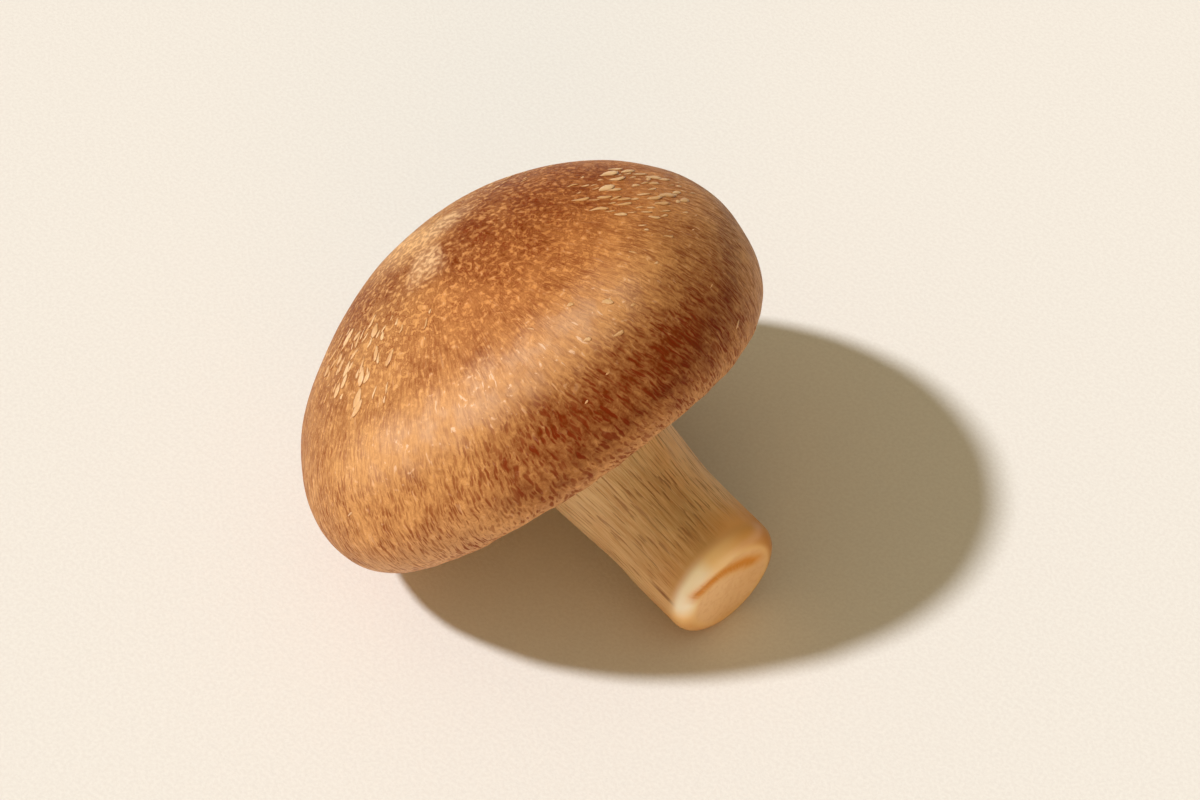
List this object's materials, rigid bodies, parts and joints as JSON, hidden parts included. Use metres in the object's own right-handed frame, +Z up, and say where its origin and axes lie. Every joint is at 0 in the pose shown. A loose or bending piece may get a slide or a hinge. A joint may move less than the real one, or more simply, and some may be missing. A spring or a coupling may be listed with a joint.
{
  "type": "shiitake mushroom",
  "caption": "Fresh shiitake mushroom with a domed brown cap, rolled margin, cream gills and a cut stem, lying on its rim and stem end.",
  "frame": {"origin": "on the surface that the mushroom lies on, under the middle of its outline seen from above", "axes": "+Z up; the cap's axis lies in the XZ plane and rises 44.6 degrees towards -X; the stem points down towards +X"},
  "size_m": [0.0554, 0.0626, 0.0497],
  "materials": {
    "cap_skin": "smooth fibrous orange-brown skin with darker streaks, paler flecks and a soft sheen",
    "gill_flesh": "matt cream blades with slightly browned edges",
    "stem_flesh": "tan fibrous skin with short brown streaks along it, and a smooth pale cut face"
  },
  "bodies": {
    "root": {"cap": "cap_skin", "gills": "gill_flesh", "stem": "stem_flesh"}
  },
  "joints": []
}
